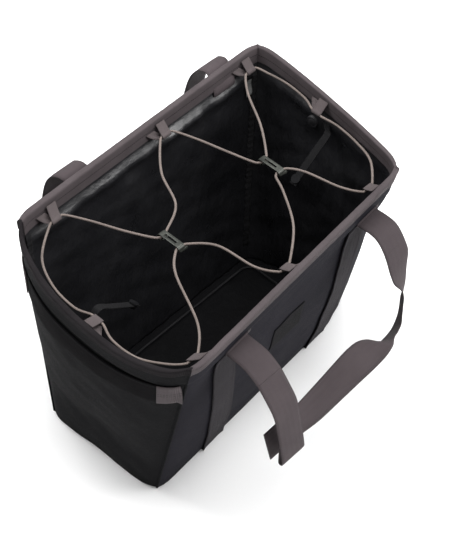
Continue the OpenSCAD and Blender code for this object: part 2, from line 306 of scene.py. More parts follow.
def ribbon(name, stations, width, thick, material, body="bag", rows=8):
    """Webbing along stations of (centre, direction of its width)"""
    verts, flat, faces = [], [], []
    s = 0.0
    centres = [Vector(c) for c, w in stations]
    rim = 2 * (rows + 1) + 2
    for i, (c, w) in enumerate(stations):
        c, w = Vector(c), Vector(w).normalized()
        t = centres[min(i + 1, len(centres) - 1)] - centres[max(i - 1, 0)]
        normal = w.cross(t).normalized()
        if i:
            s += (centres[i] - centres[i - 1]).length
        loop = []
        for k in range(rows + 1):
            a = -1 + 2 * k / rows
            lift = thick / 2 * (1 if 0 < k < rows else 0.7)
            loop.append((a * (1 if 0 < k < rows else 0.985), lift))
        loop.append((1.01, 0))
        for k in range(rows, -1, -1):
            a = -1 + 2 * k / rows
            lift = -thick / 2 * (1 if 0 < k < rows else 0.7)
            loop.append((a * (1 if 0 < k < rows else 0.985), lift))
        loop.append((-1.01, 0))
        for a, lift in loop:
            verts.append(c + w * (a * width / 2) + normal * lift)
            flat.append((a * width / 2, s))
    for i in range(len(stations) - 1):
        for k in range(rim):
            a, b = i * rim + k, i * rim + (k + 1) % rim
            faces.append((a, b, b + rim, a + rim))
    faces.append(tuple(range(rim - 1, -1, -1)))
    last = (len(stations) - 1) * rim
    faces.append(tuple(range(last, last + rim)))
    return new_object(name, verts, faces, flat, material, body, 70)


def tube(name, path, radius, material, body="bag", sides=10):
    verts, flat, faces = [], [], []
    path = [Vector(p) for p in path]
    s = 0.0
    up = Vector((0, 0, 1))
    for i, p in enumerate(path):
        t = (path[min(i + 1, len(path) - 1)] - path[max(i - 1, 0)]).normalized()
        a = t.cross(up)
        a = a.normalized() if a.length > 0.05 else t.cross(Vector((1, 0, 0))).normalized()
        b = t.cross(a)
        if i:
            s += (path[i] - path[i - 1]).length
        for k in range(sides):
            q = 2 * math.pi * k / sides
            verts.append(p + (a * math.cos(q) + b * math.sin(q)) * radius)
            flat.append((math.cos(q) * radius, s, math.sin(q) * radius))
    for i in range(len(path) - 1):
        for k in range(sides):
            a, b = i * sides + k, i * sides + (k + 1) % sides
            faces.append((a, b, b + sides, a + sides))
    faces.append(tuple(range(sides - 1, -1, -1)))
    last = (len(path) - 1) * sides
    faces.append(tuple(range(last, last + sides)))
    return new_object(name, verts, faces, flat, material, body, 70)


# ---- camera ----
AZIMUTH, ELEVATION, ROLL = (math.radians(d) for d in (-50.08, 49.33, 3.89))
TARGET = Vector((0.0259, -0.0010, RIM_Z / 2))
DISTANCE = 1.9816
VIEW_SCALE = 1600 / 460


def make_camera():
    right = Vector((math.cos(AZIMUTH), math.sin(AZIMUTH), 0))
    back = Vector((
        math.sin(AZIMUTH) * math.cos(ELEVATION),
        -math.cos(AZIMUTH) * math.cos(ELEVATION),
        math.sin(ELEVATION),
    ))
    up = back.cross(right)
    turned = right * math.cos(ROLL) + up * math.sin(ROLL)
    rise = -right * math.sin(ROLL) + up * math.cos(ROLL)
    data = bpy.data.cameras.new("camera")
    data.sensor_fit = "HORIZONTAL"
    data.sensor_width = 36
    data.lens = VIEW_SCALE * 36
    cam = bpy.data.objects.new("camera", data)
    bpy.context.collection.objects.link(cam)
    spot = TARGET + back * DISTANCE
    cam.matrix_world = Matrix((
        (turned.x, rise.x, back.x, spot.x),
        (turned.y, rise.y, back.y, spot.y),
        (turned.z, rise.z, back.z, spot.z),
        (0, 0, 0, 1),
    ))
    bpy.context.scene.camera = cam


make_camera()

# ---- materials ----


class Cloth:
    """A node material that reads the piece's own flat pattern coordinates, in metres"""

    def __init__(self, name, roughness, specular=0.4, sheen=0.0, metallic=0.0, coat=0.0):
        self.mat = bpy.data.materials.new(name)
        self.mat.use_nodes = True
        self.tree = self.mat.node_tree
        self.shader = self.tree.nodes["Principled BSDF"]
        self.shader.inputs["Specular IOR Level"].default_value = specular
        self.shader.inputs["Sheen Weight"].default_value = sheen
        self.shader.inputs["Sheen Roughness"].default_value = 0.45
        self.shader.inputs["Metallic"].default_value = metallic
        self.shader.inputs["Coat Weight"].default_value = coat
        self.shader.inputs["Roughness"].default_value = roughness
        attr = self.new("ShaderNodeAttribute")
        attr.attribute_name = "flat"
        self.flat = attr.outputs["Vector"]
        split = self.new("ShaderNodeSeparateXYZ")
        self.tree.links.new(self.flat, split.inputs[0])
        self.x, self.y = split.outputs[0], split.outputs[1]
        coord = self.new("ShaderNodeTexCoord")
        self.place = coord.outputs["Object"]

    def new(self, kind):
        return self.tree.nodes.new(kind)

    def put(self, value, socket):
        if hasattr(value, "is_output"):
            self.tree.links.new(value, socket)
        else:
            socket.default_value = value

    def math(self, op, a, b=0.0, c=None):
        node = self.new("ShaderNodeMath")
        node.operation = op
        self.put(a, node.inputs[0])
        self.put(b, node.inputs[1])
        if c is not None:
            self.put(c, node.inputs[2])
        return node.outputs[0]

    def wave(self, coordinate, period):
        angle = self.math("MULTIPLY", coordinate, 2 * math.pi / period)
        return self.math("MULTIPLY_ADD", self.math("SINE", angle), 0.5, 0.5)

    def noise(self, scale, detail=3, roughness=0.55):
        node = self.new("ShaderNodeTexNoise")
        node.inputs["Scale"].default_value = scale
        node.inputs["Detail"].default_value = detail
        node.inputs["Roughness"].default_value = roughness
        self.tree.links.new(self.place, node.inputs["Vector"])
        return node.outputs[0]

    def remap(self, value, a, b, c, d):
        node = self.new("ShaderNodeMapRange")
        for socket, v in zip(node.inputs, (value, a, b, c, d)):
            self.put(v, socket)
        return node.outputs[0]

    def mix(self, fac, a, b):
        node = self.new("ShaderNodeMix")
        node.data_type = "RGBA"
        self.put(fac, node.inputs[0])
        for value, socket in ((a, node.inputs[6]), (b, node.inputs[7])):
            self.put(value if hasattr(value, "is_output") else (*value, 1.0), socket)
        return node.outputs[2]

    def bump(self, height, distance, strength=1.0, normal=None):
        node = self.new("ShaderNodeBump")
        node.inputs["Strength"].default_value = strength
        node.inputs["Distance"].default_value = distance
        self.tree.links.new(height, node.inputs["Height"])
        if normal is not None:
            self.tree.links.new(normal, node.inputs["Normal"])
        return node.outputs[0]

    def finish(self, colour, roughness, normal):
        self.put(colour, self.shader.inputs["Base Color"])
        self.put(roughness, self.shader.inputs["Roughness"])
        if normal is not None:
            self.tree.links.new(normal, self.shader.inputs["Normal"])
        return self.mat

    def dashes(self, coordinate, along, at, dash=0.0032, wide=0.0009):
        """1 on a line of stitches at distance at on both sides of the middle"""
        off = self.math("ABSOLUTE", self.math("SUBTRACT", self.math("ABSOLUTE", coordinate), at))
        line = self.remap(off, wide * 0.4, wide * 0.6, 1.0, 0.0)
        gap = self.remap(self.wave(along, dash), 0.18, 0.3, 0.0, 1.0)
        return self.math("MULTIPLY", line, gap)


def woven(name, dark, light, thread, roughness, sheen, shine=0.1):
    """Plain weave of fine threads in both directions, with a slow change of shade"""
    m = Cloth(name, roughness, shine, sheen)
    warp = m.wave(m.x, thread)
    weft = m.wave(m.y, thread)
    check = m.wave(m.math("ADD", m.x, m.y), thread * 2)
    weave = m.math("MULTIPLY_ADD", check, 0.6, m.math("MULTIPLY", warp, weft))
    slow = m.noise(9, 4)
    fine = m.noise(420, 3)
    shade = m.math("MULTIPLY_ADD", slow, 0.55, m.math("MULTIPLY", fine, 0.45))
    tone = m.math("MULTIPLY_ADD", weave, 0.18, m.remap(shade, 0.3, 0.7, 0.1, 0.85))
    colour = m.mix(tone, dark, light)
    scuff = m.remap(m.noise(38, 6, 0.7), 0.62, 0.78, 0.0, 0.35)
    colour = m.mix(scuff, colour, tuple(c * 1.7 + 0.01 for c in light))
    normal = m.bump(weave, 0.00012, 0.7)
    normal = m.bump(m.noise(65, 4), 0.0012, 0.35, normal)
    return m.finish(colour, m.remap(fine, 0.3, 0.7, roughness - 0.08, roughness + 0.1), normal)


def strap(name, dark, light, rib, roughness, half, stitch_at, stitch, chevron=0.004, shine=0.12):
    """Webbing: chevrons of fine ribs, a denser selvedge and rows of stitches"""
    m = Cloth(name, roughness, shine, shine / 6)
    side = m.math("PINGPONG", m.math("ADD", m.x, 1.0), chevron)
    slant = m.math("ADD", m.y, side)
    ribs = m.wave(slant, rib)
    cross = m.wave(m.x, rib * 0.8)
    weave = m.math("MULTIPLY_ADD", ribs, 0.75, m.math("MULTIPLY", cross, 0.25))
    fine = m.noise(700, 2)
    slow = m.noise(14, 4)
    tone = m.math("MULTIPLY_ADD", weave, 0.5, m.remap(slow, 0.3, 0.7, 0.0, 0.4))
    tone = m.math("MULTIPLY_ADD", fine, 0.25, tone)
    colour = m.mix(tone, dark, light)
    edge = m.remap(m.math("ABSOLUTE", m.x), half * 0.9, half, 0.0, 0.45)
    colour = m.mix(edge, colour, tuple(c * 0.62 for c in dark))
    normal = m.bump(weave, 0.0003, 0.9)
    normal = m.bump(m.noise(90, 3), 0.0006, 0.3, normal)
    if stitch:
        seam = m.dashes(m.x, m.y, stitch_at)
        colour = m.mix(seam, colour, stitch)
        normal = m.bump(seam, 0.0005, 0.8, normal)
    return m.finish(colour, m.remap(fine, 0.3, 0.7, roughness - 0.06, roughness + 0.08), normal)


# Distances of a tape's two rows of stitches from its first edge
TAPE_SEAMS = (0.0022, 0.0285)


def ribbed(name, dark, light, rib, roughness, shine=0.12):
    """Grosgrain tape: fine ribs across its run"""
    m = Cloth(name, roughness, shine, shine / 6)
    ribs = m.wave(m.x, rib)
    fine = m.noise(650, 2)
    slow = m.noise(18, 4)
    tone = m.math("MULTIPLY_ADD", ribs, 0.45, m.remap(slow, 0.3, 0.7, 0.0, 0.4))
    tone = m.math("MULTIPLY_ADD", fine, 0.25, tone)
    colour = m.mix(tone, dark, light)
    seam = m.math("MAXIMUM", *(m.dashes(m.y, m.x, at) for at in TAPE_SEAMS))
    colour = m.mix(seam, colour, tuple(c * 0.5 for c in dark))
    normal = m.bump(ribs, 0.0004, 0.9)
    normal = m.bump(seam, 0.0004, 0.7, normal)
    normal = m.bump(m.noise(70, 3), 0.0008, 0.3, normal)
    return m.finish(colour, m.remap(fine, 0.3, 0.7, roughness - 0.06, roughness + 0.08), normal)


def coated(name, dark, light, roughness, shine=0.55, coat=0.15):
    """Coated cloth: a faint weave under a shiny, crinkled film"""
    m = Cloth(name, roughness, shine, 0.0, 0.0, coat)
    m.shader.inputs["Coat Roughness"].default_value = 0.3
    weave = m.math("MULTIPLY", m.wave(m.x, 0.0011), m.wave(m.y, 0.0011))
    slow = m.noise(11, 5)
    fine = m.noise(300, 3)
    tone = m.math("MULTIPLY_ADD", fine, 0.3, m.remap(slow, 0.3, 0.7, 0.0, 0.7))
    colour = m.mix(tone, dark, light)
    creases = m.noise(26, 6, 0.62)
    ridge = m.math("ABSOLUTE", m.math("SUBTRACT", creases, 0.5))
    normal = m.bump(ridge, 0.006, 0.45)
    normal = m.bump(m.noise(80, 4), 0.0016, 0.35, normal)
    normal = m.bump(weave, 0.00008, 0.6, normal)
    rough = m.remap(m.noise(24, 4), 0.3, 0.7, roughness - 0.1, roughness + 0.12)
    return m.finish(colour, rough, normal)


def braided(name, dark, light, roughness):
    """Braided cover of an elastic cord"""
    m = Cloth(name, roughness, 0.25, 0.05)
    one = m.wave(m.math("ADD", m.math("MULTIPLY", m.x, 1.2), m.y), 0.0016)
    two = m.wave(m.math("SUBTRACT", m.y, m.math("MULTIPLY", m.x, 1.2)), 0.0016)
    braid = m.math("MAXIMUM", one, two)
    fine = m.noise(900, 2)
    tone = m.math("MULTIPLY_ADD", braid, 0.55, m.math("MULTIPLY", fine, 0.5))
    colour = m.mix(tone, dark, light)
    colour = m.mix(m.remap(m.noise(45, 3), 0.5, 0.7, 0.0, 0.35), colour, dark)
    normal = m.bump(braid, 0.00035, 0.9)
    return m.finish(colour, m.remap(fine, 0.3, 0.7, roughness - 0.05, roughness + 0.1), normal)


def hard(name, dark, light, roughness, metallic, specular=0.5):
    """Painted metal or moulded plastic with a grain, fine scratches and rubbed patches"""
    m = Cloth(name, roughness, specular, 0.0, metallic)
    grain = m.noise(1400, 3)
    slow = m.noise(60, 5)
    colour = m.mix(m.remap(slow, 0.35, 0.65, 0.0, 1.0), dark, light)
    scratch = m.remap(m.noise(220, 6, 0.75), 0.62, 0.72, 0.0, 0.4)
    colour = m.mix(scratch, colour, tuple(min(1, c * 1.8) for c in light))
    normal = m.bump(grain, 0.00006, 0.5)
    normal = m.bump(slow, 0.0003, 0.2, normal)
    rough = m.remap(slow, 0.3, 0.7, roughness - 0.07, roughness + 0.1)
    return m.finish(colour, rough, normal)


OUTER = woven("outer_fabric", (0.0080, 0.0076, 0.0106), (0.017, 0.0160, 0.0208), 0.0011, 0.80, 0.0,
              0.04)
# Side fabric: a darker copy of the outer fabric, the extra darkness painted shade for the side walls
SIDE = woven("side_fabric", (0.0028, 0.0028, 0.0032), (0.0070, 0.0070, 0.0078), 0.0011, 0.74, 0.0,
             0.04)
COATED = coated("lining", (0.006, 0.006, 0.007), (0.016, 0.016, 0.018), 0.36)
WEBBING = strap("webbing", (0.030, 0.0235, 0.0255), (0.078, 0.064, 0.068), 0.0017, 0.80, WEB_W / 2,
                WEB_W / 2 - 0.003, (0.060, 0.050, 0.053))
# Grab-strap webbing: a darker copy of the webbing, its darkness painted shade on the straps
WEB_PAINTED_SHADE = strap("webbing_painted_shade", (0.0026, 0.0025, 0.0028), (0.0080, 0.0076, 0.0082), 0.0017, 0.80,
                 WEB_W / 2, WEB_W / 2 - 0.003, (0.012, 0.011, 0.012), shine=0.02)
BINDING = ribbed("binding", (0.034, 0.028, 0.030), (0.098, 0.082, 0.086), 0.0013, 0.78)
STRIP = strap("strip_webbing", (0.0125, 0.0112, 0.0130), (0.036, 0.0325, 0.0365), 0.0017, 0.82,
              WEB_W / 2, WEB_W / 2 - 0.003, (0.022, 0.020, 0.023), shine=0.06)
SHADED_BINDING = ribbed("shaded_binding", (0.007, 0.0063, 0.007), (0.023, 0.0205, 0.022), 0.0013, 0.8,
                        0.03)
SNAP_TAPE = ribbed("snap_tape", (0.002, 0.002, 0.0023), (0.0075, 0.0072, 0.0082), 0.0014, 0.65)
TAPE = ribbed("seam_tape", (0.004, 0.004, 0.0045), (0.018, 0.0175, 0.019), 0.0014, 0.55)
TAB = strap("tab_webbing", (0.038, 0.031, 0.032), (0.110, 0.092, 0.093), 0.0012, 0.78, 0.007,
            0.0048, None)
CORD = braided("cord", (0.075, 0.060, 0.054), (0.225, 0.185, 0.167), 0.75)
HOOK = hard("hook_metal", (0.024, 0.026, 0.0225), (0.058, 0.061, 0.053), 0.38, 0.5)
SNAP = hard("snap_metal", (0.003, 0.003, 0.0035), (0.008, 0.008, 0.009), 0.6, 0.0, 0.08)
BUTTON = hard("snap_button", (0.012, 0.012, 0.013), (0.030, 0.029, 0.032), 0.5, 0.0, 0.3)
PLASTIC = hard("stiffener_plastic", (0.03, 0.03, 0.033), (0.06, 0.06, 0.065), 0.6, 0.0)
BOARD = coated("board_cover", (0.0012, 0.0012, 0.0014), (0.0045, 0.0045, 0.0052), 0.6, 0.06, 0.0)
LABEL = woven("label", (0.0050, 0.0050, 0.0055), (0.0125, 0.0120, 0.0130), 0.0008, 0.75, 0.0, 0.03)
CARE = woven("care_tape", (0.10, 0.10, 0.10), (0.19, 0.19, 0.185), 0.0007, 0.7, 0.02)

# ---- the elastic cord: listed routes near the CAD solids, moved with the slumped cloth ----


def arc_path(points, step=0.004):
    return [Vector(p) for p in catmull([list(p) for p in points], step)]


def loosened(points, held):
    """Settles a route except near the hook that holds it"""
    out = []
    for p in points:
        v = Vector(p)
        w = ease((math.hypot(v.x - held, v.y) - 0.030) / 0.07) if held is not None else 1.0
        out.append(v.lerp(settle(v), w))
    return out


def wall_cord(name, x0, x1, hx, side, bend0, bend1, near0, near1):
    """From a tab round a hook to the next tab; side is 1 at the back and -1 at the front"""
    s = 1 if x1 > x0 else -1
    y, h, sag = side * TAB_Y, side * HOOK_REACH, HOOK_Z + 0.004
    route = [
        (x0, y, TAB_Z), (x0 + s * 0.009, y, TAB_Z),
        (bend0[0], side * bend0[1], TAB_Z - 0.002), (near0[0], side * near0[1], sag),
        (hx - s * 0.009, h + side * 0.0025, HOOK_Z + 0.0006), (hx, h, HOOK_Z),
        (hx + s * 0.009, h + side * 0.0025, HOOK_Z + 0.0006),
        (near1[0], side * near1[1], sag), (bend1[0], side * bend1[1], TAB_Z - 0.002),
        (x1 - s * 0.009, y, TAB_Z), (x1, y, TAB_Z),
    ]
    add_cord(name, loosened(route, hx))


def corner_cord(name, sx, sy, side_y, wall_x, in_y, mid_y, out_y):
    route = [
        (sx * TAB_X, side_y, TAB_Z), (sx * TAB_X, side_y + sy * 0.009, TAB_Z),
        (sx * 0.189, in_y, TAB_Z - 0.001), (sx * 0.190, mid_y, TAB_Z - 0.002),
        (sx * 0.184, out_y, TAB_Z - 0.001), (wall_x + sx * 0.009, sy * TAB_Y, TAB_Z),
        (wall_x, sy * TAB_Y, TAB_Z),
    ]
    add_cord(name, loosened(route, None))


def add_cord(name, route):
    path = arc_path(route)
    piece = tube(name + "_soft", path, CORD_D / 2, CORD)
    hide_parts(name)


TAB_BL, TAB_BM, TAB_BR = -0.150, 0.022, 0.170
TAB_FR, TAB_FM, TAB_FL = 0.152, -0.010, -0.168
TAB_R, TAB_L = 0.008, -0.004
wall_cord("cord_back_left", TAB_BL, TAB_BM, HOOK_LEFT_X, 1,
          (-0.119, 0.092), (-0.020, 0.080), (-0.107, 0.046), (-0.040, 0.033))
wall_cord("cord_back_right", TAB_BM, TAB_BR, HOOK_RIGHT_X, 1,
          (0.047, 0.086), (0.142, 0.093), (0.064, 0.046), (0.122, 0.048))
wall_cord("cord_front_right", TAB_FR, TAB_FM, HOOK_RIGHT_X, -1,
          (0.126, 0.090), (0.042, 0.086), (0.107, 0.038), (0.064, 0.043))
wall_cord("cord_front_left", TAB_FM, TAB_FL, HOOK_LEFT_X, -1,
          (-0.034, 0.090), (-0.126, 0.090), (-0.050, 0.044), (-0.112, 0.039))
corner_cord("cord_right_back", 1, 1, TAB_R, TAB_BR, 0.036, 0.070, 0.100)
corner_cord("cord_right_front", 1, -1, TAB_R, TAB_FR, -0.026, -0.060, -0.092)
corner_cord("cord_left_front", -1, -1, TAB_L, TAB_FL, -0.034, -0.068, -0.100)
corner_cord("cord_left_back", -1, 1, TAB_L, TAB_BL, 0.026, 0.062, 0.094)

# ---- walls, linings, stiffeners and bands ----


def wall_us(wall, n):
    ends = HALF_W if wall in LONG else 1.0
    fine = spread(-0.93, 0.93, n)
    edge = [0.95, 0.97, 0.985, 1.0]
    return [ends * t for t in [-e for e in reversed(edge)] + fine + edge]


def wall_slab(name, wall, us, vs, inner, outer, material, nodes):
    across = None if wall in LONG else RIM_Y
    piece = slab(name, lambda u, v, o: on_wall(wall, u, v, o), us, vs, inner, outer,
                 material, "bag", across)
    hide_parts(*nodes)
    return piece


def lining_puff(wall, u, z):
    """How far the loose lining stands in front of its wall"""
    k = clamp((z - BASE_Z) / (RIM_Z - BASE_Z))
    t = abs(u) / HALF_W if wall in LONG else abs(u)
    edge = 1 - clamp(t) ** 6
    a = u if wall in LONG else u * RIM_Y
    free = ease((BIND_INNER_Z - 0.001 - z) / 0.012) * edge
    ridge = math.exp(-((z - 0.287 - 0.005 * ripple(41, a, 0, 0.06)) / 0.0085) ** 2)
    puff = 0.0062 * ridge * (0.8 + 0.5 * ripple(43, a, 0, 0.03)) * (1.0 if wall == "back" else 0.4)
    puff += 0.0022 * (0.5 + ripple(47, a * 0.7 + z, z * 1.3, 0.04)) * ease(k * 4)
    puff += 0.0012 * (0.5 + ripple(51, a * 1.5, z * 0.6 - a, 0.02))
    return max(0.0, puff * free)


def lining_point(wall, u, z, off):
    return on_wall(wall, u, z, off - lining_puff(wall, u, z))


for wall in ("front", "back"):
    us = wall_us(wall, 91)
    wall_slab(f"{wall}_shell", wall, us, spread(BASE_Z, RIM_Z, 71), 0.0, FABRIC,
              OUTER, [f"{wall}_panel"])
    wall_slab(f"{wall}_band_soft", wall, us, spread(BAND_Z, RIM_Z - 0.001, 9), FABRIC, BAND_OUT,
              OUTER, [f"{wall}_band"])
    plate = [0.95 * u for u in us]
    wall_slab(f"{wall}_stiffener_strip", wall, plate, spread(RIM_Z - 0.030, RIM_Z - 0.002, 5),
              -STIFFENER, 0.0, PLASTIC, [f"{wall}_stiffener"])
    piece = slab(f"{wall}_lining_soft", lambda u, v, o, w=wall: lining_point(w, u, v, o), us,
                 spread(BASE_Z + FABRIC, RIM_Z - 0.001, 81), -STIFFENER - LINING, -STIFFENER,
                 COATED)
    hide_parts(f"{wall}_lining")
for wall in ("left", "right"):
    us = wall_us(wall, 81)
    wall_slab(f"{wall}_shell", wall, us, spread(BASE_Z + FABRIC / 2, RIM_Z, 81), 0.0, FABRIC,
              SIDE, [f"{wall}_gusset"])
    wall_slab(f"{wall}_band_soft", wall, us, spread(BAND_Z, RIM_Z - 0.001, 9), FABRIC, BAND_OUT,
              SIDE, [f"{wall}_band"])
    piece = slab(f"{wall}_lining_soft", lambda u, v, o, w=wall: lining_point(w, u, v, o), us,
                 spread(BASE_Z + FABRIC, RIM_Z - 0.001, 81), -LINING, 0.0, COATED,
                 "bag", RIM_Y)
    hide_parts(f"{wall}_lining")


def floor_point(u, v, off):
    p = Vector((u * SIDE_IN, v * (BASE_Y + FABRIC), BASE_Z + off))
    return settle(p)


piece = slab("bottom_soft", floor_point, spread(-1, 1, 41), spread(-1, 1, 21), FABRIC, 0.0002,
             SIDE)
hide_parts("bottom_fabric")

# ---- grosgrain binding over the rim ----


def wall_tape(name, wall, us, profile, material):
    """A closed profile of (offset, height) points run along a wall"""
    verts, flat, faces = [], [], []
    n = len(profile)
    across = 1.0 if wall in LONG else RIM_Y
    runs = [0.0]
    for a, b in zip(profile, profile[1:]):
        runs.append(runs[-1] + math.dist(a, b))
    for u in us:
        for (off, z), run in zip(profile, runs):
            pucker = 0.0003 * ripple(61, u * across, z, 0.009)
            verts.append(on_wall(wall, u, z, off + pucker))
            flat.append((u * across, run))
    for i in range(len(us) - 1):
        for k in range(n):
            a, b = i * n + k, i * n + (k + 1) % n
            faces.append((a, b, b + n, a + n))
    faces.append(tuple(range(n - 1, -1, -1)))
    last = (len(us) - 1) * n
    faces.append(tuple(range(last, last + n)))
    return new_object(name, verts, faces, flat, material, "bag", 80)


def binding_profile(inner):
    tape = 0.0014
    outside = [(BIND_OUT, z) for z in spread(BIND_OUTER_Z, RIM_Z - 0.0008, 5)]
    over = [(BIND_OUT - 0.0008, BIND_TOP - 0.0003), (BIND_OUT - 0.002, BIND_TOP),
            (-inner + 0.0012, BIND_TOP), (-inner + 0.0003, BIND_TOP - 0.0006)]
    inside = [(-inner, z) for z in spread(RIM_Z - 0.0008, BIND_INNER_Z, 6)]
    under = [(-inner + tape, BIND_INNER_Z), (-inner + tape, RIM_Z), (BAND_OUT, RIM_Z),
             (BAND_OUT, BIND_OUTER_Z)]
    return outside + over + inside + under


for wall in ("front", "back", "left", "right"):
    lining = STIFFENER + LINING if wall in LONG else LINING
    piece = wall_tape(f"{wall}_binding_tape", wall, wall_us(wall, 91),
                      binding_profile(lining + 0.0014),
                      SHADED_BINDING if wall == "left" else BINDING)
    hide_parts(f"{wall}_binding")

# ---- webbing sewn to the bag ----


def lifted(u, middle, z, seed):
    """Webbing lies proud of the wall along its edges, more in some places than others"""
    a = abs(u - middle) / (WEB_W / 2)
    return 0.0007 + 0.0022 * a ** 5 * (0.6 + 0.6 * ripple(seed, z, u, 0.05))


# How far the foot of each front strip stands to the right of its head
FOOT_SHIFT = {"left": 0.038, "right": -0.004}


def strip_shift(wall, tag, z):
    return FOOT_SHIFT[tag] * (1 - clamp(z / STRIP_TOP)) if wall == "front" else 0.0


for wall, middles_x in (("front", FRONT_STRIPS), ("back", BACK_STRIPS)):
    for middle, tag in zip(middles_x, ("left", "right")):
        def sewn(u, v, o, w=wall, c=middle, t=tag):
            x = u + c + strip_shift(w, t, v)
            return on_wall(w, x, v, o + lifted(u, 0, v, 71 + c))
        piece = slab(f"{wall}_strip_{tag}", sewn, spread(-WEB_W / 2, WEB_W / 2, 13),
                     spread(BASE_Z - 0.001, STRIP_TOP + 0.002, 61), FABRIC, FABRIC + WEB_T,
                     STRIP)
        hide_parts(f"{wall}_strips")
for front_x, back_x, tag in zip(FRONT_STRIPS, BACK_STRIPS, ("left", "right")):
    reach = BASE_Y + FABRIC + WEB_T

    def under(u, v, o, f=front_x + FOOT_SHIFT[tag], k=back_x):
        return settle(Vector((u + lerp(f, k, (v / reach + 1) / 2), v, o)))
    piece = slab(f"base_strap_{tag}", under, spread(-WEB_W / 2, WEB_W / 2, 9),
                 spread(-reach, reach, 31), 0.0, BASE_Z, STRIP)
    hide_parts("base_straps")

TACK_W = 0.008
for wall, xs in (("front", FRONT_ROOTS), ("back", BACK_ROOTS)):
    for x, tag in zip(xs, ("a", "b")):
        piece = slab(
            f"{wall}_handle_end_{tag}", lambda u, v, o, w=wall, c=x: on_wall(w, u + c, v, o),
            spread(-WEB_W / 2, WEB_W / 2, 9), spread(STRIP_TOP - 0.001, BAND_Z, 4),
            FABRIC + 0.0004, FABRIC + WEB_T + 0.0012, WEBBING)
        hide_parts(f"{wall}_handle_ends")
        piece = slab(
            f"{wall}_bar_tack_{tag}",
            lambda u, v, o, w=wall, c=x + WEB_W / 2: on_wall(w, u + c, v, o),
            spread(0, TACK_W, 9), spread(STRIP_TOP - 0.002, BAND_Z - 0.0005, 5),
            FABRIC, FABRIC + 0.0011, BINDING)
        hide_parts("handle_tacks")

# ---- grab straps, piping, label, tapes ----
GRAB_HALF = high("right_grab_strap").y
GRAB_LOW = low("right_grab_strap").z
GRAB_BOW = high("right_grab_strap").x - HALF_W - WEB_T
GRAB_FOOT = 0.014
for wall in ("left", "right"):
    def grab(u, v, o, w=wall):
        free = clamp(1 - (abs(v) / (GRAB_HALF - GRAB_FOOT)) ** 2)
        z = GRAB_LOW + WEB_W / 2 + u
        droop = 0.006 * free
        slack = 0.12 if w == "left" else 0.8
        out = GRAB_BOW * slack * free * (1 - 0.35 * u / WEB_W)
        return on_wall(w, v / plane(z), z - droop, FABRIC + o + out + 0.0004)
    # The grab strap body is drawn in the darker webbing (painted shade); its ends are lighter binding
    # patches
    piece = slab(f"{wall}_grab_soft", grab, spread(-WEB_W / 2, WEB_W / 2, 11),
                 spread(-GRAB_HALF, GRAB_HALF, 61), 0.0, WEB_T, WEB_PAINTED_SHADE)
    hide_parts(f"{wall}_grab_strap")
    for side, tag in ((-1, "front"), (1, "back")):
        foot = spread(side * (GRAB_HALF - 0.020), side * (GRAB_HALF + 0.002), 7)
        piece = slab(f"{wall}_grab_end_{tag}", lambda u, v, o, g=grab: g(v, u, o), foot,
                     spread(-WEB_W / 2 - 0.0004, WEB_W / 2 + 0.0004, 9), WEB_T + 0.0001,
                     2 * WEB_T, BINDING)
        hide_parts(f"{wall}_grab_strap")

for wall in ("front", "back"):
    for side, tag in ((-1, "left"), (1, "right")):
        path = [on_wall(wall, side * HALF_W, z, FABRIC) for z in spread(BASE_Z + 0.002, BAND_Z, 61)]
        piece = tube(f"{wall}_{tag}_piping", path, 0.0016, SIDE)
        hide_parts("corner_piping")
        run = [side * x for x in spread(SIDE_IN - 0.0135, SIDE_IN - 0.0035, 7)]

        def taped(u, v, o, w=wall, s=side):
            pucker = 0.0015 * math.sin(v / 0.0028 + 2 * ripple(81, v, s, 0.02))
            return lining_point(w, u, v, o - abs(pucker))
        piece = slab(f"{wall}_{tag}_seam_tape", taped, run, spread(0.028, BIND_INNER_Z, 141),
                     -STIFFENER - LINING - 0.0006, -STIFFENER - LINING, TAPE)
        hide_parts("seam_tapes")

piece = slab("label_soft", lambda u, v, o: on_wall("front", u, v, o),
             spread(low("label_patch").x, high("label_patch").x, 21),
             spread(low("label_patch").z, high("label_patch").z, 17),
             FABRIC, FABRIC + 0.0012, LABEL)
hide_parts("label_patch")
care_lo, care_hi = low("care_label"), high("care_label")
piece = slab("care_label_soft",
             lambda u, v, o: lining_point("back", u, v, o - 0.004 * ease((care_hi.z - v) / 0.02)),
             spread(care_lo.x + 0.006, care_hi.x, 7), spread(care_lo.z, care_hi.z, 9),
             -STIFFENER - LINING - 0.0008, -STIFFENER - LINING - 0.0003, CARE)
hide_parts("care_label")

# ---- cord tabs: a ribbon folded over the cord ----
TAB_W = 0.014


def tab(name, centre, out, along, skew):
    """out points to the wall and along follows the cord; the lower leg is skewed by skew"""
    c, o, a = Vector(centre), Vector(out), Vector(along)
    up = Vector((0, 0, 1))
    r = CORD_D / 2 + 0.0011
    wall_gap = (RIM_Y - 0.0055 - TAB_Y) if abs(o.y) > 0.5 else (SIDE_IN - 0.003 - TAB_X)
    rows = [(c + o * (wall_gap - 0.0004) + up * 0.011, a), (c + o * (wall_gap * 0.5) + up * 0.0065, a)]
    rows += [(c + o * r * math.sin(q) + up * r * math.cos(q), a)
             for q in (math.radians(d) for d in (15, -30, -75, -120, -165))]
    rows += [(c + o * (wall_gap * 0.5) + a * skew * 0.5 - up * 0.002, a),
             (c + o * (wall_gap - 0.0004) + a * skew + up * 0.004, a)]
    smooth = catmull([[*p, *w] for p, w in rows], 0.0015)
    stations = [(settle(Vector(s[:3])), Vector(s[3:])) for s in smooth]
    piece = ribbon(name + "_loop", stations, TAB_W, 0.0010, TAB, rows=6)
    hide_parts(name)


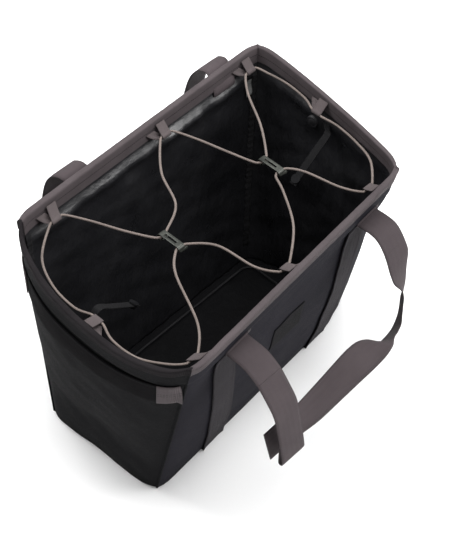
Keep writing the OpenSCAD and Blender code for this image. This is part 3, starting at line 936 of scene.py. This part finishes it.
for name, x, side in (
    ("tab_back_left", TAB_BL, 1), ("tab_back_mid", TAB_BM, 1), ("tab_back_right", TAB_BR, 1),
    ("tab_front_right", TAB_FR, -1), ("tab_front_mid", TAB_FM, -1), ("tab_front_left", TAB_FL, -1),
):
    tab(name, (x, side * TAB_Y, TAB_Z), (0, side, 0), (1, 0, 0), -side * 0.016)
tab("tab_right", (TAB_X, TAB_R, TAB_Z), (1, 0, 0), (0, 1, 0), 0.014)
tab("tab_left", (-TAB_X, TAB_L, TAB_Z), (-1, 0, 0), (0, 1, 0), -0.014)

# ---- handles ----
PIVOT_Y = RIM_Y - (RIM_Z - 0.282) * (RIM_Y - BASE_Y) / (RIM_Z - BASE_Z)
ROOT_Z = (low("front_handle_ends").z + high("front_handle_ends").z) / 2
ROOT_OUT = PIVOT_Y + FABRIC + WEB_T * 0.5


def hang(side, x, out, drop):
    """A point of a hanging handle; side is -1 at the front"""
    return Vector((x, side * (ROOT_OUT + out), ROOT_Z - drop))


def stations_of(rows, step=0.003):
    """rows are a place and the direction of the width"""
    fine = catmull([[*p, *w] for p, w in rows], step)
    return [(Vector(r[:3]), Vector(r[3:])) for r in fine]


ACROSS = Vector((1, 0, 0))
# Front legs as (out, drop) from the root, once the webbing is free of the bag
LEFT_FALL = [(0.017, 0.001), (0.037, 0.003), (0.057, 0.014), (0.071, 0.030), (0.083, 0.046),
             (0.090, 0.066), (0.099, 0.102), (0.102, 0.117), (0.1015, 0.1200), (0.0993, 0.1212),
             (0.0970, 0.1198), (0.0962, 0.110), (0.0958, 0.096)]
RIGHT_FALL = [(0.011, 0.000), (0.023, 0.006), (0.033, 0.018), (0.040, 0.031)]
# Below the right leg the webbing twists and sweeps back to the left leg:
# place as (x from the right root, out, drop), then width as (x, inward, up)
SWEEP = [
    ((-0.003, 0.046, 0.046), (0.96, 0.10, -0.27)), ((-0.002, 0.050, 0.062), (0.88, 0.20, -0.43)),
    ((0.002, 0.053, 0.077), (0.70, 0.34, -0.63)), ((0.001, 0.055, 0.090), (0.52, 0.42, -0.75)),
    ((-0.002, 0.058, 0.103), (0.50, 0.42, -0.76)), ((-0.008, 0.062, 0.113), (0.45, 0.43, -0.78)),
    ((-0.019, 0.067, 0.119), (0.25, 0.45, -0.86)), ((-0.036, 0.072, 0.116), (0.08, 0.50, -0.87)),
    ((-0.056, 0.078, 0.104), (0.0, 0.58, -0.81)), ((-0.078, 0.084, 0.085), (0.0, 0.90, -0.40)),
    ((-0.100, 0.083, 0.084), (0.0, 0.98, 0.15)), ((-0.125, 0.082, 0.088), (0.0, 0.86, 0.50)),
    ((-0.155, 0.081, 0.096), (0.0, 0.72, 0.69)), ((-0.190, 0.081, 0.102), (0.0, 0.60, 0.80)),
    ((-0.215, 0.080, 0.105), (0.0, 0.45, 0.90)), ((-0.240, 0.079, 0.106), (0.0, 0.38, 0.93)),
    ((-0.268, 0.079, 0.106), (0.0, 0.35, 0.94)),
]


def leg_rows(side, x, fall, lean=0.0):
    root = settle(hang(side, x, 0, 0))
    rows = [(hang(side, root.x + lean * ease(o / 0.035), o, d), ACROSS) for o, d in fall]
    return [(root, ACROSS)] + rows


def handle_ribbon(name, rows, node):
    piece = ribbon(name, stations_of(rows), WEB_W, WEB_T, WEBBING, None)
    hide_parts(node)
    return piece


def front_handle():
    left = leg_rows(-1, FRONT_ROOTS[0], LEFT_FALL)
    right = leg_rows(-1, FRONT_ROOTS[1], RIGHT_FALL)
    root_x = right[0][0].x
    sweep = [(hang(-1, root_x + x, o, d), Vector(w)) for (x, o, d), w in SWEEP]
    legs = [handle_ribbon("front_handle_leg_a", left[:4], "front_handle_legs"),
            handle_ribbon("front_handle_leg_b", right[:4], "front_handle_legs")]
    grips = [handle_ribbon("front_handle_grip_a", left[3:], "front_handle_grip"),
             handle_ribbon("front_handle_grip_b", right[3:] + sweep, "front_handle_grip")]
    return legs, grips


# Side view of a back leg as (out, drop): it springs up behind the rim before it falls
BACK_ARCH = [
    (0.000, 0.000), (0.006, -0.015), (0.016, -0.028), (0.030, -0.034), (0.044, -0.029),
    (0.056, -0.013), (0.065, 0.012), (0.071, 0.045), (0.075, 0.080), (0.077, 0.110),
]
# How far each back leg leans along X, and how much of the arch's reach it keeps
BACK_LEAN = (-0.007, 0.009)
BACK_REACH = (0.80, 0.95)


def back_handle():
    r = 0.040
    arches = [[(o * reach, d) for o, d in BACK_ARCH] for reach in BACK_REACH]
    legs = [handle_ribbon(f"back_handle_leg_{tag}", leg_rows(1, x, arch[1:5], lean),
                          "back_handle_legs")
            for x, tag, lean, arch in zip(BACK_ROOTS, ("a", "b"), BACK_LEAN, arches)]
    left_x, right_x = (settle(hang(1, x, 0, 0)).x + lean for x, lean in zip(BACK_ROOTS, BACK_LEAN))
    (left_out, drop), (right_out, drop) = arches[0][-1], arches[1][-1]
    rows = [(hang(1, left_x, o, d), ACROSS) for o, d in arches[0][4:]]
    for deg in (25, 50, 75, 90):
        q = math.radians(deg)
        rows.append((hang(1, left_x + r * (1 - math.cos(q)), left_out, drop + r * math.sin(q)),
                     Vector((math.cos(q), 0, math.sin(q)))))
    rows.append((hang(1, (left_x + right_x) / 2, (left_out + right_out) / 2, drop + r + 0.004),
                 Vector((0, 0, 1))))
    for deg in (90, 75, 50, 25):
        q = math.radians(deg)
        rows.append((hang(1, right_x - r * (1 - math.cos(q)), right_out, drop + r * math.sin(q)),
                     Vector((-math.cos(q), 0, math.sin(q)))))
    rows += [(hang(1, right_x, o, d), -ACROSS) for o, d in reversed(arches[1][4:])]
    return legs, [handle_ribbon("back_handle_grip_soft", rows, "back_handle_grip")]


for side, (legs, grips) in ((-1, front_handle()), (1, back_handle())):
    tag = "front" if side < 0 else "back"
    for piece in legs:
        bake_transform(piece)
    for piece in grips:
        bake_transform(piece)

# ---- snap straps and base board ----
SNAP_ROOT_Y = {"left": 0.0, "right": 0.016}


def button(name, centre, radius, thick, material):
    """A domed disc that stands on the right wall and faces into the bag"""
    profile = [(0.0, thick), (radius * 0.45, thick * 0.98), (radius * 0.62, thick * 0.80),
               (radius * 0.70, thick * 0.86), (radius * 0.88, thick * 0.80), (radius, thick * 0.45),
               (radius, 0.0), (0.0, 0.0)]
    verts, flat, faces = [], [], []
    n = 36
    for r, t in profile[1:-1]:
        for k in range(n):
            q = 2 * math.pi * k / n
            verts.append(centre + Vector((-t, r * math.cos(q), r * math.sin(q))))
            flat.append((r * math.cos(q), r * math.sin(q)))
    rings = len(profile) - 2
    for i in range(rings - 1):
        for k in range(n):
            a, b = i * n + k, i * n + (k + 1) % n
            faces.append((a, b, b + n, a + n))
    faces.append(tuple(range(n - 1, -1, -1)))
    faces.append(tuple(range((rings - 1) * n, rings * n)))
    return new_object(name, verts, faces, flat, material, "bag", 40)


wall_spot = lining_point("right", 0.15, 0.276, -LINING - 0.0002)
button("snap_button_right", wall_spot, 0.0085, 0.0046, BUTTON)

for side, tag in ((-1, "left"), (1, "right")):
    lo, hi = low(f"snap_strap_{tag}"), high(f"snap_strap_{tag}")
    inner_x = side * min(abs(lo.x), abs(hi.x))
    pivot = Vector((side * 0.195, 0, 0.288))
    tip = Vector((inner_x, 0, lo.z))
    root = on_wall(tag, 0, 0.289, -LINING - 0.0012)
    root = Vector((root.x, SNAP_ROOT_Y[tag], root.z))
    rows = [[*(root + Vector((0, 0, 0.004)))], [*root], [*root.lerp(pivot, 0.6)], [*pivot]]
    rows += [[*pivot.lerp(tip, t)] for t in (0.3, 0.6, 1.0)]
    stations = [(Vector(p), Vector((0, 1, 0))) for p in catmull(rows, 0.003)]
    piece = ribbon(f"snap_ribbon_{tag}", stations, 0.0095, 0.0014, SNAP_TAPE, None,
                   rows=4)
    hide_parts(f"snap_strap_{tag}", "snap_anchors")
    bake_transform(piece)


def board_outline(more, n=12):
    half = high("base_board")
    r = max(0.004, 0.020 + more)
    x, y = half.x + more - r, half.y + more - r
    return [(sx * x + r * math.cos(q), sy * y + r * math.sin(q))
            for sx, sy, start in ((1, 1, 0), (-1, 1, 90), (-1, -1, 180), (1, -1, 270))
            for q in (math.radians(start + 90 * k / n) for k in range(n + 1))]


BOARD_NARROWED = 0.028


def board_place(x, y, z):
    """The board is flat, and narrow enough at its right end to lift past the side wall"""
    p = settle(Vector((x, y, z)))
    right = clamp(x / HALF_W)
    p.x = min(p.x, lerp(p.x, x - BOARD_NARROWED * right, ease(right * 1.6)))
    p.y -= 0.008 * clamp(y / BASE_Y)
    return p


def board():
    z0, z1 = low("base_board").z, high("base_board").z
    rings = []
    for more, z in ((0.0, z0), (0.0006, z0 + 0.0012), (0.0006, z1 - 0.0012), (-0.0004, z1),
                    (-0.006, z1 + 0.0003), (-0.014, z1 + 0.0005)):
        rings.append([board_place(x, y, z) for x, y in board_outline(more)])
    n = len(rings[0])
    verts = [p for ring in rings for p in ring]
    faces = []
    for i in range(len(rings) - 1):
        for k in range(n):
            a, b = i * n + k, i * n + (k + 1) % n
            faces.append((a, b, b + n, a + n))
    faces.append(tuple(range(n - 1, -1, -1)))
    faces.append(tuple(range((len(rings) - 1) * n, len(rings) * n)))
    piece = new_object("base_board_soft", verts, faces, [(p.x, p.y) for p in verts],
                       BOARD, "base_board", 60)
    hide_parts("base_board")
    path = [board_place(x, y, z1 - 0.0002) for x, y in board_outline(0.0014)]
    path.append(path[0])
    ring = tube("board_piping_soft", path, 0.0016, TAPE, "base_board", 8)
    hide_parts("board_piping")


board()

# ---- cord hooks: an eye on the back cord, a slotted plate and a lip over the front cord ----
HOOK_W = 0.0098
HOOK_T = 0.0015


def hook_curl(x, y, r, start, end, n=9):
    """Stations round the cord at y; angles in degrees from the back, up being 90"""
    return [(Vector((x, y + r * math.cos(math.radians(a)), HOOK_Z + r * math.sin(math.radians(a)))),
             ACROSS) for a in spread(start, end, n)]


def hook(tag, x):
    r = CORD_D / 2 + HOOK_T / 2 + 0.0016
    top_z = HOOK_Z + r
    ends = (HOOK_REACH - 0.0035, -HOOK_REACH + 0.0045)
    eye = hook_curl(x, HOOK_REACH, r, -170, 90, 15) + [(Vector((x, ends[0], top_z)), ACROSS)]
    lip = [(Vector((x, ends[1], top_z)), ACROSS)] + hook_curl(x, -HOOK_REACH, r, 90, 190, 8)
    foot_y = -HOOK_REACH - r - 0.0002
    foot = [(Vector((x - 0.0035, foot_y, HOOK_Z - 0.0006)), Vector((0, 0.3, 0.95))),
            (Vector((x + 0.0045, foot_y - 0.0004, HOOK_Z - 0.0014)), Vector((0, 0.4, 0.9))),
            (Vector((x + 0.0080, foot_y - 0.0006, HOOK_Z - 0.0020)), Vector((0.2, 0.4, 0.9))),
            (Vector((x + 0.0098, foot_y + 0.0004, HOOK_Z - 0.0022)), Vector((0.6, 0.2, 0.8)))]
    foot = [(Vector(s[:3]), Vector(s[3:])) for s in catmull([[*p, *w] for p, w in foot], 0.0012)]
    parts = [("eye", eye, HOOK_W), ("lip", lip, HOOK_W), ("foot", foot, 0.0036)]
    for side, rail in ((-1, "rail_a"), (1, "rail_b")):
        at = x + side * (HOOK_W / 2 - 0.0018)
        parts.append((rail, [(Vector((at, y, top_z)), ACROSS)
                             for y in spread(ends[0] + 0.0008, ends[1] - 0.0008, 9)], 0.0036))
    for name, stations, width in parts:
        piece = ribbon(f"hook_{tag}_{name}", stations, width, HOOK_T, HOOK,
                       f"hook_{tag}", rows=4)
        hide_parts(f"hook_{tag}")


hook("left", HOOK_LEFT_X)
hook("right", HOOK_RIGHT_X)

# ---- CAD nodes that stay: the snap discs ----
for node in ("snap_socket", "snap_stud"):
    for slot in bpy.data.objects[node].material_slots:
        slot.material = SNAP

# ---- studio ----


def area_light(name, spot, aim, size, power):
    data = bpy.data.lights.new(name, "AREA")
    data.shape = "RECTANGLE"
    data.size, data.size_y = size
    data.energy = power
    obj = bpy.data.objects.new(name, data)
    bpy.context.collection.objects.link(obj)
    obj.location = spot
    obj.rotation_euler = (Vector(aim) - Vector(spot)).to_track_quat("-Z", "Y").to_euler()


def studio():
    mesh = bpy.data.meshes.new("floor")
    s = 4.0
    mesh.from_pydata([(-s, -s, 0), (s, -s, 0), (s, s, 0), (-s, s, 0)], [], [(0, 1, 2, 3)])
    floor = bpy.data.objects.new("floor", mesh)
    bpy.context.collection.objects.link(floor)
    m = Cloth("floor", 0.8, 0.2)
    colour = m.mix(m.noise(3, 2), (0.93, 0.93, 0.93), (0.95, 0.95, 0.95))
    mesh.materials.append(m.finish(colour, 0.85, m.bump(m.noise(200, 2), 0.0002, 0.2)))
    area_light("key", (-0.4, 1.6, 2.2), (0, 0, 0.2), (1.6, 1.2), 55)
    area_light("fill", (1.4, -1.9, 1.7), (0, 0, 0.15), (1.4, 1.4), 48)
    area_light("top", (0.3, -0.2, 2.6), (0, 0, 0.1), (1.6, 1.6), 62)
    world = bpy.data.worlds.new("studio")
    bpy.context.scene.world = world
    world.use_nodes = True
    world.node_tree.nodes["Background"].inputs[0].default_value = (1, 1, 1, 1)
    world.node_tree.nodes["Background"].inputs[1].default_value = 0.55
    bpy.context.scene.view_settings.view_transform = "Standard"


studio()
